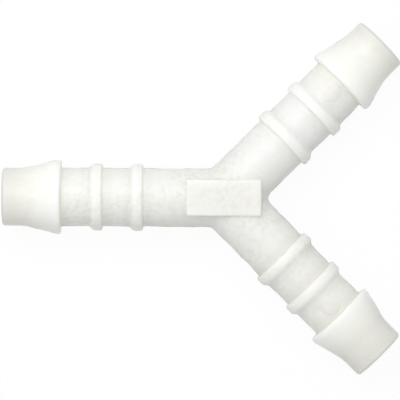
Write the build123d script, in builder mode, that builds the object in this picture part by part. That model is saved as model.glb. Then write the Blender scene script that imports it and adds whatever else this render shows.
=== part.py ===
from build123d import *
import math
import os

# Barbed Y connector for flexible tubing, moulded in one piece.
# All sizes are in millimetres and degrees.
# The part lies flat: the stem points along -X, the two branches open towards +X, +Z is up.
# The origin is under the middle of the outline, on the surface that the barb rims rest on.

# Bore and wall of the plain tube, the same in all three arms
tube_diameter = 8.0
wall_thickness = 1.1

# Lengths along an arm, counted back from its tip to the junction
arm_reach = 30.6
nose_length = 3.25
barb_cone_length = 4.1
barb_land_length = 0.75
outer_neck_pitch = 5.7
ring_pitch = 5.6

# How far the collars stand out from the tube
barb_height = 1.05
ring_height = 0.55

# Outline of one stop ring: a flat land, then a ramp that eases out of it and into the tube
ring_land_length = 1.0
ring_ramp_length = 1.05
ring_ramp_ease = 0.3

# Foot of the barb's cone, and the edges of the arm's open end
barb_foot_ease = 0.6
tip_chamfer = 0.25
mouth_chamfer = 0.25

# Each shoulder leans towards the tip as it leaves the parting plane, so that the mould opens
shoulder_draft = 1.2

# Junction of the three tubes
branch_angle = 45.0
junction_blend = 1.15

# Raised rectangular plate over the junction, stopping short of the crotch between the branches
plate_length = 10.2
plate_width = 4.9
plate_setback = 0.56
plate_rise = 0.45
plate_corner = 0.25
plate_draft = 4.0
plate_edge_chamfer = 0.1
plate_root_blend = 0.25

# Ejector marks: low round pads on the outer neck of each branch, bowed with the tube
pin_mark_diameter = 2.6
pin_mark_rise = 0.1

# Gate mark: a shallow dished spot under the junction
gate_diameter = 2.0
gate_depth = 0.2

# Sizes that follow from the ones above
tube_radius = tube_diameter / 2
passage_radius = tube_radius - wall_thickness
barb_radius = tube_radius + barb_height
ring_radius = tube_radius + ring_height
core_radius = tube_radius - wall_thickness / 2

barb_cone_end = arm_reach - nose_length
barb_land_end = barb_cone_end - barb_cone_length
barb_shoulder = barb_land_end - barb_land_length
cone_foot = (barb_cone_end - barb_foot_ease, tube_radius + barb_foot_ease * barb_height / barb_cone_length)
nose_start = (barb_cone_end + barb_foot_ease, tube_radius)

outer_ring_shoulder = barb_shoulder - outer_neck_pitch
inner_ring_shoulder = outer_ring_shoulder - ring_pitch
outer_neck_start = outer_ring_shoulder + ring_land_length + ring_ramp_length
pin_mark_reach = (outer_neck_start + barb_shoulder) / 2

# Place of the junction: its height is the barb's radius, and the outline is centred along X
branch_cos = math.cos(math.radians(branch_angle))
branch_sin = math.sin(math.radians(branch_angle))
branch_extent = (
    arm_reach * branch_cos
    + tube_radius * branch_sin
    - tip_chamfer * min(branch_cos, branch_sin)
)
junction = Vector((arm_reach - branch_extent) / 2, 0, barb_radius)
branch_places = [Location(junction, (0, 0, angle)) for angle in (branch_angle, -branch_angle)]
arm_places = [Location(junction, (0, 0, 180)), *branch_places]
crest_height = junction.Z + tube_radius
plate_centre = junction.X + tube_radius / branch_sin - plate_setback - plate_length / 2


# One arm from the outside, lying along +X from the junction
with BuildPart() as arm_outside:
    # Barb, nose and both stop rings as collars turned about the arm's axis
    with BuildSketch(Plane.XZ):
        with BuildLine():
            Bezier(cone_foot, (barb_cone_end, tube_radius), nose_start)
            Polyline(
                nose_start,
                (arm_reach - tip_chamfer, tube_radius),
                (arm_reach, tube_radius - tip_chamfer),
                (arm_reach, 0),
                (barb_shoulder, 0),
                (barb_shoulder, barb_radius),
                (barb_land_end, barb_radius),
                cone_foot,
            )
        make_face()
        for shoulder in (outer_ring_shoulder, inner_ring_shoulder):
            land_end = shoulder + ring_land_length
            ramp_end = land_end + ring_ramp_length
            ramp_middle = ((land_end + ramp_end) / 2, (ring_radius + tube_radius) / 2)
            with BuildLine():
                Bezier((land_end, ring_radius), (land_end + ring_ramp_ease, ring_radius), ramp_middle)
                Bezier(ramp_middle, (ramp_end - ring_ramp_ease, tube_radius), (ramp_end, tube_radius))
                Polyline(
                    (ramp_end, tube_radius),
                    (ramp_end, core_radius),
                    (shoulder, core_radius),
                    (shoulder, ring_radius),
                    (land_end, ring_radius),
                )
            make_face()
    revolve(axis=Axis.X)

    # Mould draft: a thin wedge comes off each shoulder above and below the parting plane
    draft_height = barb_radius + wall_thickness
    draft_run = draft_height * math.tan(math.radians(shoulder_draft))
    with BuildSketch(Plane.XZ):
        for shoulder in (barb_shoulder, outer_ring_shoulder, inner_ring_shoulder):
            with BuildLine():
                Polyline(
                    (shoulder + draft_run, draft_height),
                    (shoulder, 0),
                    (shoulder + draft_run, -draft_height),
                    (shoulder - draft_run, -draft_height),
                    (shoulder - draft_run, draft_height),
                    close=True,
                )
            make_face()
    extrude(amount=draft_height, both=True, mode=Mode.SUBTRACT)

    # Plain tube that carries the collars
    with BuildSketch(Plane.YZ):
        Circle(tube_radius)
    extrude(amount=barb_land_end)


# Ejector mark of one branch, lying along +X from the junction, between the outer ring and the barb
with BuildPart() as pin_mark:
    with BuildSketch(Plane.YZ.offset(outer_neck_start)):
        Circle(tube_radius + pin_mark_rise)
    extrude(amount=barb_shoulder - outer_neck_start)
    with BuildSketch():
        with Locations((pin_mark_reach, 0)):
            Circle(pin_mark_diameter / 2)
    extrude(amount=barb_radius, mode=Mode.INTERSECT)


# The whole moulding
with BuildPart() as connector_body:
    # Three arms about the junction, with the mitred corners between them rounded
    with Locations(*arm_places):
        add(arm_outside.part)
    mitres = connector_body.edges().filter_by(GeomType.ELLIPSE).sort_by_distance(junction)[:3]
    fillet(mitres, junction_blend)

    # Raised plate, its sides drafted and running down into the tubes
    with BuildSketch(Plane.XY.offset(crest_height + plate_rise)):
        with Locations((plate_centre, 0)):
            RectangleRounded(plate_length, plate_width, plate_corner)
    extrude(amount=-(tube_radius + plate_rise), taper=-plate_draft)
    plate_root = connector_body.edges(Select.NEW)
    fillet(plate_root, plate_root_blend)
    plate_top = connector_body.faces().filter_by(Axis.Z).sort_by(Axis.Z)[-1]
    chamfer(plate_top.edges(), plate_edge_chamfer)

    # Ejector marks on the crest of each branch
    with Locations(*branch_places):
        add(pin_mark.part)

    # Gate mark, dished into the underside
    gate_radius = gate_diameter / 2
    dish_radius = (gate_radius**2 + gate_depth**2) / (2 * gate_depth)
    with Locations((junction.X, 0, junction.Z - tube_radius + gate_depth - dish_radius)):
        Sphere(dish_radius, mode=Mode.SUBTRACT)

    # Flow passages from each tip to the junction, chamfered at the mouth
    for place in arm_places:
        with BuildSketch(Plane(place) * Plane.XZ):
            with BuildLine():
                Polyline(
                    (0, 0),
                    (0, passage_radius),
                    (arm_reach - mouth_chamfer, passage_radius),
                    (arm_reach, passage_radius + mouth_chamfer),
                    (arm_reach, 0),
                    close=True,
                )
            make_face()
        revolve(axis=Axis((0, 0, 0), (1, 0, 0)).located(place), mode=Mode.SUBTRACT)

connector_body.part.label = "connector_body"
connector_body.part.color = Color(0.93, 0.93, 0.90)

os.makedirs("parts", exist_ok=True)
export_step(connector_body.part, "parts/connector_body.step")
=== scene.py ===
"""Visual model of a barbed Y connector for flexible tubing, moulded in one piece of natural plastic.

Finished pieces are in metres in the row frame: the stem points along -X, the branches open towards +X and
+Z is up. The moulding and its fin are shaped in millimetres.
"""

import logging
import math
from collections.abc import Callable
from dataclasses import dataclass
from enum import Enum

import bmesh
import bpy
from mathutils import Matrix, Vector, noise

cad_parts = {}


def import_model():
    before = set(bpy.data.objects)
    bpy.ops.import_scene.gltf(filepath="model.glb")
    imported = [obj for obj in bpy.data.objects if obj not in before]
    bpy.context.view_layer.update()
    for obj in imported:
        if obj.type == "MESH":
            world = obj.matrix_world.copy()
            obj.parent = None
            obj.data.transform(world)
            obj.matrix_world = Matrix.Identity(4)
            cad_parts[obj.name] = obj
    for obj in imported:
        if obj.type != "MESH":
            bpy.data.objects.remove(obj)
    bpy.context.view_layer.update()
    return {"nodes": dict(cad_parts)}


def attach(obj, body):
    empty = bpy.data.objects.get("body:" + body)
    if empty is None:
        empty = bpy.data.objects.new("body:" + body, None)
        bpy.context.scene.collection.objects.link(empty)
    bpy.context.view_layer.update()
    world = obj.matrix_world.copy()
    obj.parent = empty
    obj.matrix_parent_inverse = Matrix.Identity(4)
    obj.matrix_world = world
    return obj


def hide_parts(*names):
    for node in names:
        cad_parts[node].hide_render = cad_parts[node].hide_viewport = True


LOG = logging.getLogger("y_connector")

MILLIMETRE = 0.001
BODY = "root"
CAD_NODE = "connector_body"

Colour = tuple[float, float, float]
Place = tuple[float, float, float]
Pair = tuple[float, float]


@dataclass(frozen=True)
class ArmForm:
    """Sizes of the moulding that its looks depend on, in millimetres and degrees.

    The zones are how far around an edge or a pad a point still counts as being at it.
    """

    angles: tuple[float, ...] = (180.0, 45.0, -45.0)
    junction_x: float = 3.155
    reach: float = 30.6
    tube_radius: float = 4.0
    passage_radius: float = 2.9
    barb_radius: float = 5.05
    shoulders: tuple[float, ...] = (11.2, 16.8, 22.5)
    ramp_ends: tuple[float, ...] = (13.25, 18.85)
    plate_size: Pair = (10.2, 4.9)
    plate_rise: float = 0.45
    pad_radius: float = 1.3
    skin_zone: float = 0.1
    shoulder_zone: float = 0.35
    pad_zone: float = 0.3
    plate_zone: float = 0.8
    plate_foot: float = 0.5
    rim_zone: float = 0.15

    @property
    def junction(self) -> Vector:
        """Return the point where the arms' axes meet, a barb's radius above the floor."""
        return Vector((self.junction_x, 0.0, self.barb_radius))

    @property
    def plate_top(self) -> float:
        """Return the height of the plate's top."""
        return self.junction.z + self.tube_radius + self.plate_rise

    @property
    def pad_reach(self) -> float:
        """Return how far out a pad lies, midway between the outer ring's ramp and the barb's shoulder."""
        return (self.ramp_ends[-1] + self.shoulders[-1]) / 2

    @property
    def directions(self) -> tuple[Vector, ...]:
        """Return the arms' directions, away from the junction."""
        turns = [math.radians(angle) for angle in self.angles]
        return tuple(Vector((math.cos(turn), math.sin(turn), 0.0)) for turn in turns)

    def from_axis(self, point: Vector) -> Pair:
        """Measure a point against the nearest arm.

        Args:
            point: A point in millimetres.

        Returns:
            Its distance from that arm's axis, and how far out along the arm it is.
        """
        found = []
        for along in self.directions:
            out = max(0.0, (point - self.junction).dot(along))
            found.append(((point - self.junction - out * along).length, out))
        return min(found)

    def at_shoulder(self, point: Vector) -> bool:
        """Tell whether a point lies at the shoulder of a ring or a barb.

        Args:
            point: A point in millimetres.

        Returns:
            True at the shoulder's foot, face and rim.
        """
        radius, out = self.from_axis(point)
        return radius > self.tube_radius - self.skin_zone and any(
            abs(out - site) < self.shoulder_zone for site in self.shoulders
        )

    def at_pad(self, point: Vector) -> bool:
        """Tell whether a point lies on or beside an ejector pad.

        Args:
            point: A point in millimetres.

        Returns:
            True on the pad, its rim and its root.
        """
        pads = [self.junction + self.pad_reach * along for along in self.directions[1:]]
        near = any((point - pad).to_2d().length < self.pad_radius + self.pad_zone for pad in pads)
        return near and point.z > self.junction.z + self.passage_radius

    def at_plate(self, point: Vector) -> bool:
        """Tell whether a point lies on the plate or beside it.

        Args:
            point: A point in millimetres.

        Returns:
            True from a little over the parting plane to the plate's top.
        """
        offset = point - self.junction
        sizes = zip(offset.to_2d(), self.plate_size)
        across = all(abs(part) < size / 2 + self.plate_zone for part, size in sizes)
        return across and offset.z > self.plate_foot

    def at_plate_rim(self, point: Vector) -> bool:
        """Tell whether a point lies at the rim of the plate's top."""
        return self.at_plate(point) and point.z > self.plate_top - self.rim_zone

    def at_plate_root(self, point: Vector) -> bool:
        """Tell whether a point lies where the plate runs into the tubes, which is rounded already."""
        return self.at_plate(point) and not self.at_plate_rim(point)


FORM = ArmForm()


class Socket(Enum):
    """Kinds of group socket."""

    VALUE = "NodeSocketFloat"
    VECTOR = "NodeSocketVector"


class Easing(Enum):
    """How a value runs from one end of its range to the other."""

    EVEN = "LINEAR"
    SOFT = "SMOOTHSTEP"


class NodeSheet:
    """A node tree with short calls for adding and joining nodes."""

    def __init__(self, tree: bpy.types.NodeTree) -> None:
        """Keep the tree that the nodes go into."""
        self.tree = tree

    def add(self, kind: str, **settings: object) -> bpy.types.Node:
        """Add a node and set its properties.

        Args:
            kind: The node's type name.
            settings: Properties of the node by name.

        Returns:
            The new node.
        """
        node = self.tree.nodes.new(kind)
        for name, value in settings.items():
            setattr(node, name, value)
        return node

    def join(self, source: bpy.types.NodeSocket, target: bpy.types.NodeSocket) -> None:
        """Link an output to an input."""
        self.tree.links.new(source, target)

    def feed(self, value: object, target: bpy.types.NodeSocket) -> None:
        """Link an output to an input, or set the input to a plain value.

        Args:
            value: A socket, a number, a vector or a colour.
            target: The input.
        """
        if isinstance(value, bpy.types.NodeSocket):
            self.join(value, target)
        else:
            target.default_value = value

    def maths(self, operation: str, first: object, second: object = 0.0) -> bpy.types.NodeSocket:
        """Add a Math node.

        Args:
            operation: The node's operation.
            first: A socket or a number.
            second: A socket or a number.

        Returns:
            The node's output socket.
        """
        node = self.add("ShaderNodeMath", operation=operation)
        for slot, value in zip(node.inputs, (first, second)):
            self.feed(value, slot)
        return node.outputs[0]

    def times(self, first: object, second: object) -> bpy.types.NodeSocket:
        """Multiply two values."""
        return self.maths("MULTIPLY", first, second)

    def vector(
        self, operation: str, first: object, second: object, output: str = "Value"
    ) -> bpy.types.NodeSocket:
        """Add a Vector Math node.

        Args:
            operation: The node's operation.
            first: A socket or a vector.
            second: A socket, a vector or, for SCALE, a number.
            output: The name of the output to read.

        Returns:
            The output socket.
        """
        node = self.add("ShaderNodeVectorMath", operation=operation)
        self.feed(first, node.inputs[0])
        self.feed(second, node.inputs["Scale"] if operation == "SCALE" else node.inputs[1])
        return node.outputs[output]

    def slope(
        self, value: bpy.types.NodeSocket, low: float, high: float, easing: Easing = Easing.EVEN
    ) -> bpy.types.NodeSocket:
        """Spread a value's range from low to high over 0 to 1.

        Args:
            value: The socket to read.
            low: The value that becomes 0.
            high: The value that becomes 1.
            easing: How it runs from one to the other.

        Returns:
            The output socket.
        """
        node = self.add("ShaderNodeMapRange", interpolation_type=easing.value)
        self.join(value, node.inputs["Value"])
        node.inputs["From Min"].default_value = low
        node.inputs["From Max"].default_value = high
        return node.outputs["Result"]

    def band(self, value: bpy.types.NodeSocket, low: float, high: float) -> bpy.types.NodeSocket:
        """Spread a value's range from low to high over 0 to 1, with soft ends."""
        return self.slope(value, low, high, Easing.SOFT)

    def clouds(
        self, place: bpy.types.NodeSocket, scale: object, detail: float, twist: float = 0.0
    ) -> bpy.types.NodeSocket:
        """Add a noise texture.

        Args:
            place: Coordinates in metres.
            scale: Cells to the metre, as a number or a socket.
            detail: Octaves of finer noise.
            twist: Distortion of the pattern.

        Returns:
            The factor output.
        """
        node = self.add("ShaderNodeTexNoise")
        self.join(place, node.inputs["Vector"])
        self.feed(scale, node.inputs["Scale"])
        node.inputs["Detail"].default_value = detail
        node.inputs["Distortion"].default_value = twist
        return node.outputs["Fac"]

    def blend(self, share: bpy.types.NodeSocket, under: object, over: object) -> bpy.types.NodeSocket:
        """Lay one colour over another.

        Args:
            share: How much of the upper colour shows.
            under: The lower colour, as a socket or four numbers.
            over: The upper colour, as a socket or four numbers.

        Returns:
            The mixed colour.
        """
        mix = self.add("ShaderNodeMix", data_type="RGBA")
        self.join(share, mix.inputs["Factor"])
        colours = [socket for socket in mix.inputs if socket.type == "RGBA"]
        for colour, socket in zip((under, over), colours):
            self.feed(colour, socket)
        return next(socket for socket in mix.outputs if socket.type == "RGBA")


@dataclass(frozen=True)
class GroupSocket:
    """One named input of a shader node group."""

    name: str
    kind: Socket = Socket.VALUE
    default: float | None = None


class EffectGroup:
    """A shader node group that is built once and placed in each finish."""

    def __init__(self, name: str, inputs: tuple[GroupSocket, ...], outputs: tuple[str, ...]) -> None:
        """Make the group's tree with its sockets.

        Args:
            name: The group's name.
            inputs: Its inputs with their defaults.
            outputs: The names of its outputs, which are all values.
        """
        self.tree = bpy.data.node_groups.new(name, "ShaderNodeTree")
        for socket in inputs:
            made = self.tree.interface.new_socket(
                name=socket.name, in_out="INPUT", socket_type=socket.kind.value
            )
            if socket.default is not None:
                made.default_value = socket.default
        for output in outputs:
            self.tree.interface.new_socket(name=output, in_out="OUTPUT", socket_type=Socket.VALUE.value)
        self.sheet = NodeSheet(self.tree)
        self.entry = self.sheet.add("NodeGroupInput").outputs
        self.exit = self.sheet.add("NodeGroupOutput").inputs

    def place(self, sheet: NodeSheet, **values: object) -> bpy.types.NodeOutputs:
        """Place the group in a material.

        Args:
            sheet: The material's nodes.
            values: Input values or sockets, by socket name with underscores for spaces.

        Returns:
            The group node's outputs.
        """
        node = sheet.add("ShaderNodeGroup", node_tree=self.tree)
        for name, value in values.items():
            sheet.feed(value, node.inputs[name.replace("_", " ")])
        return node.outputs


def arm_sites(form: ArmForm) -> EffectGroup:
    """Build the group that finds a point's place on its arm.

    Args:
        form: The moulding's sizes.

    Returns:
        The group, with Along, Radius and Pad Gap outputs in millimetres, and Side, from 0 on the +Y branch
        to 1 on the -Y branch.
    """
    outputs = ("Along", "Radius", "Pad Gap", "Side")
    group = EffectGroup("arm_sites", (GroupSocket("Place", Socket.VECTOR),), outputs)
    sheet = group.sheet
    enlarged = sheet.vector("SCALE", group.entry["Place"], 1.0 / MILLIMETRE, "Vector")
    offset = sheet.vector("SUBTRACT", enlarged, form.junction, "Vector")
    reaches, radii, pad_gaps = [], [], []
    for direction in form.directions:
        out = sheet.maths("MAXIMUM", sheet.vector("DOT_PRODUCT", offset, direction), 0.0)
        reaches.append(out)
        radii.append(sheet.vector("DISTANCE", offset, sheet.vector("SCALE", direction, out, "Vector")))
    for direction in form.directions[1:]:
        pad = form.pad_reach * direction + Vector((0, 0, form.tube_radius))
        pad_gaps.append(sheet.vector("DISTANCE", offset, pad))
    picks = (("Along", "MAXIMUM", reaches), ("Radius", "MINIMUM", radii), ("Pad Gap", "MINIMUM", pad_gaps))
    for output, operation, found in picks:
        best = found[0]
        for other in found[1:]:
            best = sheet.maths(operation, best, other)
        sheet.join(best, group.exit[output])
    split = sheet.add("ShaderNodeSeparateXYZ")
    sheet.join(offset, split.inputs["Vector"])
    sheet.join(sheet.slope(split.outputs["Y"], form.shoulders[0], -form.shoulders[0]), group.exit["Side"])
    return group


@dataclass(frozen=True)
class GlowSpans:
    """Where the wall's masks begin and end, in millimetres from the form's own lines.

    The barb's calm is the share of the mottling that a barb loses. The swings are how much the painted shade
    in the corners and towards the mouths grows from the +Y branch to the -Y branch, and the corners' least is
    the share of their painted shade on the +Y branch.
    """

    proud_start: float = 0.2
    arm_start: Pair = (-3.0, -1.0)
    plate_edge: Pair = (0.15, 0.35)
    pad_edge: Pair = (0.2, -0.1)
    barb_start: Pair = (-0.5, 1.5)
    barb_calm: float = 0.7
    shoulder_offset: float = -0.65
    ramp_offset: float = 0.25
    neck_height: Pair = (0.35, 0.05)
    corner_shade_least: float = 0.25
    corner_shade_swing: float = 1.05
    mouth_shade_swing: float = 2.7
    lip_edge: Pair = (0.45, 0.15)


def wall_glow(form: ArmForm, spans: GlowSpans) -> EffectGroup:
    """Build the masks of painted light and shade in the wall: a painted glow where it is thick, painted shade
    in the corners.

    Args:
        form: The moulding's sizes.
        spans: Where the masks begin and end.

    Returns:
        The group, with Thick, Plate, Pad, Neck, Corner, Mouth and Lip masks; Thick places painted glow, and
        Corner, Plate, Mouth and Lip place painted shade.
    """
    group = EffectGroup(
        "wall_glow",
        (
            GroupSocket("Along"),
            GroupSocket("Radius"),
            GroupSocket("Pad Gap"),
            GroupSocket("Side", default=0.5),
            GroupSocket("Shoulder Width", default=1.3),
            GroupSocket("Ramp Width", default=0.9),
            GroupSocket("Ramp Share", default=0.55),
            GroupSocket("Mouth Width", default=4.0),
        ),
        ("Thick", "Plate", "Pad", "Neck", "Corner", "Mouth", "Lip"),
    )
    sheet = group.sheet
    radius, along, side = (group.entry[name] for name in ("Radius", "Along", "Side"))
    # Thick: where the painted glow goes, on the collars and barbs out along the arms.
    proud = sheet.slope(radius, form.tube_radius + spans.proud_start, form.barb_radius)
    out_on_arm = sheet.band(along, *(form.shoulders[0] + start for start in spans.arm_start))
    sheet.join(sheet.times(proud, out_on_arm), group.exit["Thick"])
    # Plate: where the plate's painted shade goes, and where specks are kept off.
    on_plate = sheet.band(radius, *(form.tube_radius + edge for edge in spans.plate_edge))
    sheet.join(sheet.times(on_plate, sheet.maths("SUBTRACT", 1.0, out_on_arm)), group.exit["Plate"])
    on_pad = sheet.band(group.entry["Pad Gap"], *(form.pad_radius + edge for edge in spans.pad_edge))
    sheet.join(on_pad, group.exit["Pad"])
    barb = sheet.band(along, *(form.shoulders[-1] + start for start in spans.barb_start))
    sheet.join(sheet.maths("SUBTRACT", 1.0, sheet.times(barb, spans.barb_calm)), group.exit["Neck"])

    # Corner: painted shade just before each shoulder and just after each ramp, low on the neck, growing
    # towards the -Y branch.
    corner_shade = None
    shoulders = [(site + spans.shoulder_offset, "Shoulder Width", 1.0) for site in form.shoulders]
    ramps = [(site + spans.ramp_offset, "Ramp Width", group.entry["Ramp Share"]) for site in form.ramp_ends]
    for site, width, share in (*shoulders, *ramps):
        away = sheet.maths("ABSOLUTE", sheet.maths("SUBTRACT", along, site))
        near = sheet.band(sheet.maths("DIVIDE", away, group.entry[width]), 1.0, 0.0)
        near = sheet.times(near, share)
        corner_shade = near if corner_shade is None else sheet.maths("MAXIMUM", corner_shade, near)
    low = sheet.band(radius, *(form.tube_radius + height for height in spans.neck_height))
    uneven = sheet.maths("ADD", sheet.times(side, spans.corner_shade_swing), spans.corner_shade_least)
    sheet.join(sheet.times(sheet.times(corner_shade, low), uneven), group.exit["Corner"])

    # Mouth and Lip: painted shade towards each open end, reaching further on the -Y branch.
    left = sheet.maths("SUBTRACT", form.reach, along)
    width = sheet.maths("ADD", sheet.times(side, spans.mouth_shade_swing), group.entry["Mouth Width"])
    sheet.join(sheet.band(sheet.maths("DIVIDE", left, width), 1.0, 0.0), group.exit["Mouth"])
    sheet.join(sheet.band(left, *spans.lip_edge), group.exit["Lip"])
    return group


def mould_grain() -> EffectGroup:
    """Build the spark-eroded grain of the mould: a fine pebbling over a slower ripple.

    Returns:
        The group, with a Height output.
    """
    group = EffectGroup(
        "mould_grain",
        (
            GroupSocket("Place", Socket.VECTOR),
            GroupSocket("Pebble Scale", default=5200.0),
            GroupSocket("Ripple Scale", default=620.0),
            GroupSocket("Ripple Share", default=0.5),
        ),
        ("Height",),
    )
    sheet = group.sheet
    pebbles = sheet.clouds(group.entry["Place"], group.entry["Pebble Scale"], detail=2.0)
    ripple = sheet.clouds(group.entry["Place"], group.entry["Ripple Scale"], detail=1.0)
    raised = sheet.times(ripple, group.entry["Ripple Share"])
    sheet.join(sheet.maths("ADD", pebbles, raised), group.exit["Height"])
    return group


@dataclass(frozen=True)
class MeltSpans:
    """Which part of each noise the mottling keeps, and how the specks are scattered."""

    cloud: Pair = (0.30, 0.72)
    blotch: Pair = (0.40, 0.70)
    patch: Pair = (0.30, 0.62)
    speck_edge: Pair = (0.06, 0.02)
    speck_field: float = 260.0
    speck_chosen: float = 0.58


def melt_clouds(spans: MeltSpans) -> EffectGroup:
    """Build the cloudy mottling of unpigmented plastic, with a scatter of small dark specks.

    Args:
        spans: Which part of each noise is kept.

    Returns:
        The group, with Cloud, Blotch and Speck masks.
    """
    group = EffectGroup(
        "melt_clouds",
        (
            GroupSocket("Place", Socket.VECTOR),
            GroupSocket("Cloud Scale", default=240.0),
            GroupSocket("Blotch Scale", default=1450.0),
            GroupSocket("Patch Scale", default=110.0),
            GroupSocket("Speck Scale", default=420.0),
        ),
        ("Cloud", "Blotch", "Speck"),
    )
    sheet = group.sheet
    place = group.entry["Place"]
    cloud = sheet.clouds(place, group.entry["Cloud Scale"], detail=3.0, twist=0.4)
    sheet.join(sheet.band(cloud, *spans.cloud), group.exit["Cloud"])
    blotch = sheet.clouds(place, group.entry["Blotch Scale"], detail=2.5, twist=0.15)
    patches = sheet.clouds(place, group.entry["Patch Scale"], detail=1.0)
    patchy = sheet.times(sheet.band(blotch, *spans.blotch), sheet.slope(patches, *spans.patch))
    sheet.join(patchy, group.exit["Blotch"])
    cells = sheet.add("ShaderNodeTexVoronoi")
    sheet.join(place, cells.inputs["Vector"])
    sheet.join(group.entry["Speck Scale"], cells.inputs["Scale"])
    near = sheet.band(cells.outputs["Distance"], *spans.speck_edge)
    field = sheet.clouds(place, spans.speck_field, detail=0.0)
    sheet.join(sheet.times(near, sheet.maths("GREATER_THAN", field, spans.speck_chosen)), group.exit["Speck"])
    return group


def edge_touch(agreement: Pair = (0.995, 0.80), samples: int = 6) -> EffectGroup:
    """Build the mask of edges that rub against their neighbours in a bag.

    Args:
        agreement: How well the true and the rounded normal agree where the mask is 0, and where it is 1.
        samples: Rays that round the normal.

    Returns:
        The group, with an Edge mask.
    """
    group = EffectGroup("edge_touch", (GroupSocket("Width", default=0.0002),), ("Edge",))
    sheet = group.sheet
    soft = sheet.add("ShaderNodeBevel", samples=samples)
    sheet.join(group.entry["Width"], soft.inputs["Radius"])
    flat = sheet.add("ShaderNodeNewGeometry")
    agree = sheet.vector("DOT_PRODUCT", soft.outputs["Normal"], flat.outputs["Normal"])
    sheet.join(sheet.band(agree, *agreement), group.exit["Edge"])
    return group


@dataclass(frozen=True)
class Effects:
    """The shared shader groups."""

    grain: EffectGroup
    clouds: EffectGroup
    edges: EffectGroup
    sites: EffectGroup
    glow: EffectGroup


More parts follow.
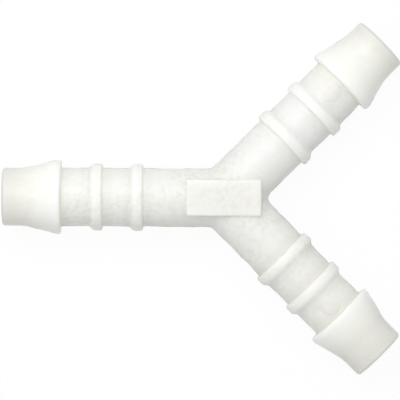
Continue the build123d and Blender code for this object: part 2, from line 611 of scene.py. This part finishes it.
@dataclass(frozen=True)
class MouldedPlastic:
    """Milky, unpigmented plastic as it comes out of a spark-eroded mould.

    The thin colour is the plain wall's, and the others lie over it: deep in its clouds; pale as a painted
    glow on the thick collars, as painted light on the inner stretch of the +Y branch and faintly on rubbed
    edges; smudge in the blotches and on the pads and as painted shade in the corners; plate as painted shade
    on the plate; and open end as painted shade towards the mouths and at their lips. The shares say how much
    of each shows at most.
    """

    name: str
    pale: Colour
    thin: Colour
    deep: Colour
    smudge_and_shade: Colour
    plate: Colour
    mouth_shade: Colour
    roughness: float
    roughness_swing: float
    grain_depth: float
    milkiness: float
    scatter: Colour
    ior: float = 1.48
    edge_roughness: float = 0.2
    cloud_share: float = 0.5
    # Painted light on the inner stretch of the +Y branch: its share, its span of Side and its span along the
    # arm.
    lit_branch_share: float = 0.85
    lit_branch_side: Pair = (0.45, 0.1)
    lit_branch_reach: Pair = (21.0, 17.0)
    blotch_share: float = 1.15
    thick_glow_share: float = 0.85
    corner_shade_share: float = 0.5
    plate_shade_share: float = 0.55
    pad_share: float = 0.45
    speck_share: float = 0.5
    speck_depth: float = 0.5
    edge_share: float = 0.1
    lip_share: float = 0.45
    lip_depth: float = 0.75

    def build(self, effects: Effects) -> bpy.types.Material:
        """Make the material.

        Args:
            effects: The shared shader groups.

        Returns:
            The material.
        """
        material = bpy.data.materials.new(self.name)
        material.use_nodes = True
        sheet = NodeSheet(material.node_tree)
        sheet.tree.nodes.clear()
        place = sheet.add("ShaderNodeTexCoord").outputs["Object"]
        clouds = effects.clouds.place(sheet, Place=place)
        edge = effects.edges.place(sheet)["Edge"]
        site = effects.sites.place(sheet, Place=place)
        glow = effects.glow.place(
            sheet, Along=site["Along"], Radius=site["Radius"], Pad_Gap=site["Pad Gap"], Side=site["Side"]
        )
        rough = sheet.maths("ADD", sheet.times(clouds["Blotch"], self.roughness_swing), self.roughness)
        rough = sheet.maths("ADD", rough, sheet.times(edge, self.edge_roughness))
        bump = sheet.add("ShaderNodeBump")
        bump.inputs["Strength"].default_value = 1.0
        bump.inputs["Distance"].default_value = self.grain_depth
        sheet.join(effects.grain.place(sheet, Place=place)["Height"], bump.inputs["Height"])

        shader = sheet.add("ShaderNodeBsdfPrincipled", subsurface_method="RANDOM_WALK")
        shader.inputs["IOR"].default_value = self.ior
        shader.inputs["Specular IOR Level"].default_value = 0.5
        shader.inputs["Subsurface Weight"].default_value = self.milkiness
        shader.inputs["Subsurface Radius"].default_value = self.scatter
        shader.inputs["Subsurface Scale"].default_value = MILLIMETRE
        sheet.join(self._colour(sheet, clouds, site, glow, edge), shader.inputs["Base Color"])
        sheet.join(rough, shader.inputs["Roughness"])
        sheet.join(bump.outputs["Normal"], shader.inputs["Normal"])
        sheet.join(shader.outputs["BSDF"], sheet.add("ShaderNodeOutputMaterial").inputs["Surface"])
        return material

    def _colour(
        self,
        sheet: NodeSheet,
        clouds: bpy.types.NodeOutputs,
        site: bpy.types.NodeOutputs,
        glow: bpy.types.NodeOutputs,
        edge: bpy.types.NodeSocket,
    ) -> bpy.types.NodeSocket:
        """Lay the tints over one another.

        Args:
            sheet: The material's nodes.
            clouds: Outputs of the mottling.
            site: Outputs that say where on its arm a point lies.
            glow: Outputs that say how thick and how open the wall is there.
            edge: The mask of rubbed edges.

        Returns:
            The finished colour.
        """
        side = site["Side"]
        # Painted light: the inner stretch of the +Y branch is made paler, standing in for the lamp falling
        # more on it.
        clear = sheet.times(sheet.band(side, *self.lit_branch_side), sheet.slope(site["Along"], *self.lit_branch_reach))
        off_middle = sheet.maths("ABSOLUTE", sheet.maths("SUBTRACT", side, 0.5))
        blotch = sheet.times(sheet.times(clouds["Blotch"], glow["Neck"]), sheet.slope(off_middle, 1.0, 0.0))
        speck = sheet.maths("SUBTRACT", clouds["Speck"], glow["Plate"])
        tints = (
            (clouds["Cloud"], self.cloud_share, self.deep),
            (clear, self.lit_branch_share, self.pale),
            (blotch, self.blotch_share, self.smudge_and_shade),
            # Painted glow: the thick collars and the barbs are made paler, standing in for light scattered in
            # the thicker wall.
            (glow["Thick"], self.thick_glow_share, self.pale),
            # Painted shade: darker in the corners at the shoulders' feet and the ramps' ends, more so on the
            # -Y branch.
            (glow["Corner"], self.corner_shade_share, self.smudge_and_shade),
            # Painted shade: a greyer, darker tone on the plate's top.
            (glow["Plate"], self.plate_shade_share, self.plate),
            (glow["Pad"], self.pad_share, self.smudge_and_shade),
            # Painted shade towards the open mouths, deeper on the -Y branch.
            (glow["Mouth"], 1.0, self.mouth_shade),
            (speck, self.speck_share, tuple(self.speck_depth * part for part in self.deep)),
            (edge, self.edge_share, self.pale),
            # Painted shade: darker still at the lip of each mouth.
            (glow["Lip"], self.lip_share, tuple(self.lip_depth * part for part in self.mouth_shade)),
        )
        laid = (*self.thin, 1.0)
        for mask, share, tint in tints:
            laid = sheet.blend(sheet.times(mask, share), laid, (*tint, 1.0))
        return laid


BODY_PLASTIC = MouldedPlastic(
    name="natural_plastic_moulded",
    pale=(0.945, 0.943, 0.885),
    thin=(0.92, 0.918, 0.85),
    deep=(0.885, 0.883, 0.815),
    # The smudge tint also serves as painted shade in the corners; the plate and open-end tints are painted
    # shade.
    smudge_and_shade=(0.80, 0.798, 0.738),
    plate=(0.795, 0.793, 0.765),
    mouth_shade=(0.73, 0.728, 0.683),
    roughness=0.38,
    roughness_swing=0.16,
    grain_depth=0.00003,
    milkiness=1.0,
    scatter=(2.0, 2.0, 1.85),
)

# The fin's dark, greyer finish paints a thin line of shade along the moulding's outline; the fin itself is
# real flash.
FLASH_SHADE_PLASTIC = MouldedPlastic(
    name="natural_plastic_flash_shade",
    pale=(0.66, 0.66, 0.61),
    thin=(0.64, 0.64, 0.59),
    deep=(0.56, 0.56, 0.51),
    smudge_and_shade=(0.50, 0.50, 0.45),
    plate=(0.50, 0.50, 0.47),
    mouth_shade=(0.57, 0.57, 0.53),
    roughness=0.5,
    roughness_swing=0.2,
    grain_depth=0.00002,
    milkiness=0.4,
    scatter=(0.6, 0.6, 0.5),
)


@dataclass
class ConnectorBody:
    """The moulding itself, with the small rounds that the mould leaves on its rims.

    Sizes are in millimetres and degrees.
    """

    shoulder_round: float = 0.22
    rim_round: float = 0.09
    pad_round: float = 0.045
    plate_round: float = 0.06
    sharp_angle: float = 28.0
    flat_angle: float = 0.5
    weld: float = 1e-4
    normal_weight: int = 80
    piece: bpy.types.Object | None = None

    def build(self, node: bpy.types.Object) -> bpy.types.Object:
        """Round the rims of a copy of the moulding.

        Args:
            node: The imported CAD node.

        Returns:
            The finished piece.
        """
        form = bmesh.new()
        form.from_mesh(node.data)
        bmesh.ops.scale(form, vec=Vector((1, 1, 1)) / MILLIMETRE, verts=form.verts)
        bmesh.ops.remove_doubles(form, verts=form.verts, dist=self.weld)
        bmesh.ops.dissolve_limit(
            form, angle_limit=math.radians(self.flat_angle), verts=form.verts, edges=form.edges
        )
        special = (
            (self.pad_round, FORM.at_pad),
            (self.plate_round, FORM.at_plate_rim),
            (self.shoulder_round, FORM.at_shoulder),
        )
        self._round(form, self.rim_round, lambda middle: not any(chosen(middle) for _, chosen in special))
        for radius, chosen in special:
            self._round(form, radius, chosen)
        bmesh.ops.triangulate(form, faces=[face for face in form.faces if len(face.verts) > 4])
        bmesh.ops.scale(form, vec=Vector((1, 1, 1)) * MILLIMETRE, verts=form.verts)
        mesh = bpy.data.meshes.new("connector_moulding")
        form.to_mesh(mesh)
        form.free()
        mesh.shade_smooth()
        self.piece = bpy.data.objects.new("connector_moulding", mesh)
        bpy.context.scene.collection.objects.link(self.piece)
        normals = self.piece.modifiers.new("rim_normals", "WEIGHTED_NORMAL")
        normals.weight = self.normal_weight
        normals.keep_sharp = True
        return self.piece

    def _round(self, form: bmesh.types.BMesh, radius: float, chosen: Callable[[Vector], bool]) -> None:
        """Round the sharp edges that are chosen.

        Args:
            form: The moulding, in millimetres.
            radius: How far each round reaches from its edge.
            chosen: Tells from an edge's middle whether it is rounded.
        """
        rims = []
        for edge in form.edges:
            middle = (edge.verts[0].co + edge.verts[1].co) / 2
            sharp = edge.calc_face_angle(0.0) > math.radians(self.sharp_angle)
            if sharp and chosen(middle) and not FORM.at_plate_root(middle):
                rims.append(edge)
        bmesh.ops.bevel(
            form, geom=rims, offset=radius, offset_type="OFFSET", segments=2, profile=0.5,
            affect="EDGES", clamp_overlap=False, material=-1,
        )

    def dress(self, material: bpy.types.Material) -> None:
        """Give the moulding its finish and let it stand for the CAD node.

        Args:
            material: The finish.
        """
        self.piece.data.materials.clear()
        self.piece.data.materials.append(material)
        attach(self.piece, BODY)
        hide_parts(CAD_NODE)


@dataclass
class PartingFlash:
    """The thin, uneven fin that the two halves of the mould leave along the parting plane, in a darker finish
    that paints a thin line of shade along the moulding's outline.

    Sizes are in millimetres. Where the fin has nothing to show, it stays hidden inside the moulding.
    """

    height: float = 0.035
    swing: float = 0.11
    most: float = 0.12
    hidden: float = 0.02
    sunk: float = 0.08
    thickness: float = 0.045
    step: float = 0.16
    patch: float = 1.9
    patch_share: float = 0.75
    patch_origin: Place = (7.3, 1.9, 4.1)
    ripple: float = 0.45
    fade_start: float = 27.8
    fade_end: float = 29.0
    wall_depth: float = 0.3
    shortest: float = 0.04
    level_slack: float = 1e-4
    piece: bpy.types.Object | None = None

    def build(self, moulding: bpy.types.Object) -> bpy.types.Object:
        """Draw the fin out of the moulding's outline.

        Args:
            moulding: The finished moulding.

        Returns:
            The fin.
        """
        form = bmesh.new()
        form.from_mesh(moulding.data)
        bmesh.ops.scale(form, vec=Vector((1, 1, 1)) / MILLIMETRE, verts=form.verts)
        for edge in self._outline(form):
            cuts = int(edge.calc_length() / self.step)
            if cuts:
                bmesh.ops.subdivide_edges(form, edges=[edge], cuts=cuts)
        form.normal_update()
        outward = form.verts.layers.float_vector.new("outward")
        for vert in form.verts:
            vert[outward] = Vector((vert.normal.x, vert.normal.y, 0.0)).normalized()
        for edge in form.edges:
            edge.tag = self._on_line(edge)
        bmesh.ops.delete(form, geom=form.faces[:], context="FACES_ONLY")
        bmesh.ops.delete(form, geom=[edge for edge in form.edges if not edge.tag], context="EDGES")
        bmesh.ops.remove_doubles(form, verts=form.verts, dist=self.shortest)
        drawn = bmesh.ops.extrude_edge_only(form, edges=form.edges[:])["geom"]
        rim = {item for item in drawn if isinstance(item, bmesh.types.BMVert)}
        for vert in form.verts:
            reach = self._reach(vert.co) if vert in rim else -self.sunk
            vert.co += reach * vert[outward]
        bmesh.ops.translate(form, vec=Vector((0, 0, -self.thickness / 2)), verts=form.verts)
        raised = bmesh.ops.extrude_face_region(form, geom=form.faces[:])["geom"]
        upper = [item for item in raised if isinstance(item, bmesh.types.BMVert)]
        bmesh.ops.translate(form, vec=Vector((0, 0, self.thickness)), verts=upper)
        bmesh.ops.recalc_face_normals(form, faces=form.faces)
        bmesh.ops.scale(form, vec=Vector((1, 1, 1)) * MILLIMETRE, verts=form.verts)
        mesh = bpy.data.meshes.new("parting_flash")
        form.to_mesh(mesh)
        form.free()
        self.piece = bpy.data.objects.new("parting_flash", mesh)
        bpy.context.scene.collection.objects.link(self.piece)
        return self.piece

    def _outline(self, form: bmesh.types.BMesh) -> list[bmesh.types.BMEdge]:
        """Cut the moulding at the parting plane.

        Args:
            form: The moulding, in millimetres.

        Returns:
            The edges of the cut that lie on its outer line.
        """
        cut = bmesh.ops.bisect_plane(
            form, geom=form.verts[:] + form.edges[:] + form.faces[:], dist=self.level_slack,
            plane_co=FORM.junction, plane_no=(0, 0, 1),
        )
        edges = [item for item in cut["geom_cut"] if isinstance(item, bmesh.types.BMEdge)]
        return [edge for edge in edges if self._on_line(edge)]

    def _on_line(self, edge: bmesh.types.BMEdge) -> bool:
        """Tell whether an edge lies on the outer parting line, short of the tips.

        Args:
            edge: An edge of the cut moulding.

        Returns:
            True on the line.
        """
        level = all(abs(vert.co.z - FORM.junction.z) < self.level_slack for vert in edge.verts)
        radius, out = FORM.from_axis((edge.verts[0].co + edge.verts[1].co) / 2)
        return level and radius > FORM.tube_radius - self.wall_depth and out < self.fade_end

    def _reach(self, point: Vector) -> float:
        """Work out how far the fin stands out at a point.

        Args:
            point: A point of the outline, in millimetres.

        Returns:
            Its reach, under zero where the fin stays inside the moulding.
        """
        out = FORM.from_axis(point)[1]
        patches = noise.noise(point / self.patch + Vector(self.patch_origin))
        ripples = noise.noise(point / self.ripple)
        fade = min(1.0, max(0.0, (self.fade_end - out) / (self.fade_end - self.fade_start)))
        uneven = self.patch_share * patches + (1.0 - self.patch_share) * ripples
        reach = min(self.most, max(-self.hidden, self.height + self.swing * uneven))
        return reach * fade - self.hidden * (1.0 - fade)

    def dress(self, material: bpy.types.Material) -> None:
        """Give the fin its finish, which is darker and paints shade along the outline.

        Args:
            material: The finish.
        """
        self.piece.data.materials.append(material)
        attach(self.piece, BODY)


@dataclass(frozen=True)
class Softbox:
    """A square lamp that looks at the moulding, with its sizes in metres."""

    name: str
    place: Place
    width: float
    watts: float
    colour: Colour

    def hang(self, target: Vector) -> bpy.types.Object:
        """Put the lamp in the scene.

        Args:
            target: The point that it faces.

        Returns:
            The lamp.
        """
        lamp = bpy.data.lights.new(self.name, "AREA")
        lamp.shape = "SQUARE"
        lamp.size = self.width
        lamp.energy = self.watts
        lamp.color = self.colour
        hung = bpy.data.objects.new(self.name, lamp)
        hung.location = self.place
        hung.rotation_euler = (target - Vector(self.place)).to_track_quat("-Z", "Y").to_euler()
        bpy.context.scene.collection.objects.link(hung)
        return hung


@dataclass
class Studio:
    """A pale floor under soft light, seen from straight above.

    Sizes are in metres and degrees, and the camera's sensor is in millimetres.
    """

    floor_width: float = 3.0
    frame_width: float = 0.05536
    camera_height: float = 0.484
    aim: Pair = (-0.000133, -0.00031)
    roll: float = 0.35
    sensor: float = 36.0
    clip: Pair = (0.01, 20.0)
    sky: float = 0.86
    floor_bounce: float = 0.69
    floor_shown: float = 0.95
    floor_shadow: float = 0.06
    lamp: Softbox = Softbox(
        name="key", place=(-0.034, 0.060, 0.15), width=0.12, watts=0.132, colour=(1.0, 1.0, 0.99)
    )
    lamp_target: Place = (0.0, 0.0, 0.005)

    def floor(self) -> bpy.types.Object:
        """Lay the floor, a white sweep that keeps a soft shadow and can be looked through from beneath.

        Returns:
            The floor.
        """
        form = bmesh.new()
        bmesh.ops.create_grid(form, x_segments=1, y_segments=1, size=self.floor_width / 2)
        mesh = bpy.data.meshes.new("floor")
        form.to_mesh(mesh)
        form.free()
        laid = bpy.data.objects.new("floor", mesh)
        bpy.context.scene.collection.objects.link(laid)
        mesh.materials.append(self._white_sweep())
        return laid

    def _white_sweep(self) -> bpy.types.Material:
        """Make the floor's paper, plain white where it is seen and duller in the light that it throws back.

        Returns:
            The material.
        """
        material = bpy.data.materials.new("white_sweep")
        material.use_nodes = True
        sheet = NodeSheet(material.node_tree)
        sheet.tree.nodes.clear()
        path = sheet.add("ShaderNodeLightPath").outputs
        mirrored = sheet.maths("MAXIMUM", path["Is Glossy Ray"], path["Is Transmission Ray"])
        seen = sheet.maths("MAXIMUM", path["Is Camera Ray"], mirrored)
        paper = sheet.add("ShaderNodeBsdfDiffuse")
        shades = [(level, level, level, 1.0) for level in (self.floor_bounce, self.floor_shown)]
        sheet.join(sheet.blend(seen, *shades), paper.inputs["Color"])
        glow = sheet.add("ShaderNodeEmission")
        glow.inputs["Strength"].default_value = 1.0
        lit = sheet.add("ShaderNodeMixShader")
        sheet.join(sheet.times(seen, 1.0 - self.floor_shadow), lit.inputs["Fac"])
        sheet.join(paper.outputs["BSDF"], lit.inputs[1])
        sheet.join(glow.outputs["Emission"], lit.inputs[2])
        below = sheet.add("ShaderNodeMixShader")
        sheet.join(sheet.add("ShaderNodeNewGeometry").outputs["Backfacing"], below.inputs["Fac"])
        sheet.join(lit.outputs["Shader"], below.inputs[1])
        sheet.join(sheet.add("ShaderNodeBsdfTransparent").outputs["BSDF"], below.inputs[2])
        sheet.join(below.outputs["Shader"], sheet.add("ShaderNodeOutputMaterial").inputs["Surface"])
        return material

    def surround(self) -> None:
        """Light the scene from all sides, and show plain white behind the floor's edge."""
        world = bpy.data.worlds.new("surround")
        world.use_nodes = True
        sheet = NodeSheet(world.node_tree)
        sheet.tree.nodes.clear()
        path = sheet.add("ShaderNodeLightPath").outputs
        light = sheet.add("ShaderNodeBackground")
        strength = sheet.add("ShaderNodeMapRange")
        sheet.join(path["Is Camera Ray"], strength.inputs["Value"])
        strength.inputs["To Min"].default_value = self.sky
        strength.inputs["To Max"].default_value = 1.0
        sheet.join(strength.outputs["Result"], light.inputs["Strength"])
        sheet.join(light.outputs["Background"], sheet.add("ShaderNodeOutputWorld").inputs["Surface"])
        bpy.context.scene.world = world

    def camera(self) -> bpy.types.Object:
        """Hang the camera above the moulding, looking straight down.

        Returns:
            The camera.
        """
        lens = bpy.data.cameras.new("overhead_camera")
        lens.sensor_width = self.sensor
        lens.lens = self.sensor * self.camera_height / self.frame_width
        lens.clip_start, lens.clip_end = self.clip
        hung = bpy.data.objects.new("overhead_camera", lens)
        hung.location = (*self.aim, self.camera_height + FORM.junction.z * MILLIMETRE)
        hung.rotation_euler = (0.0, 0.0, math.radians(self.roll))
        bpy.context.scene.collection.objects.link(hung)
        bpy.context.scene.camera = hung
        return hung

    def build(self) -> None:
        """Set up the floor, the light and the camera."""
        self.floor()
        self.surround()
        self.camera()
        self.lamp.hang(Vector(self.lamp_target))
        bpy.context.scene.view_settings.view_transform = "Standard"


def main() -> None:
    """Build the moulding and its studio, and report each piece."""
    logging.basicConfig(level=logging.INFO, format="%(name)s: %(message)s")
    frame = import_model()
    effects = Effects(
        grain=mould_grain(),
        clouds=melt_clouds(MeltSpans()),
        edges=edge_touch(),
        sites=arm_sites(FORM),
        glow=wall_glow(FORM, GlowSpans()),
    )
    body = ConnectorBody()
    body.build(frame["nodes"][CAD_NODE])
    body.dress(BODY_PLASTIC.build(effects))
    flash = PartingFlash()
    flash.build(body.piece)
    flash.dress(FLASH_SHADE_PLASTIC.build(effects))
    for part in (body, flash):
        LOG.info("%s: %d faces", part.piece.name, len(part.piece.data.polygons))
    Studio().build()


if __name__ == "__main__":
    main()
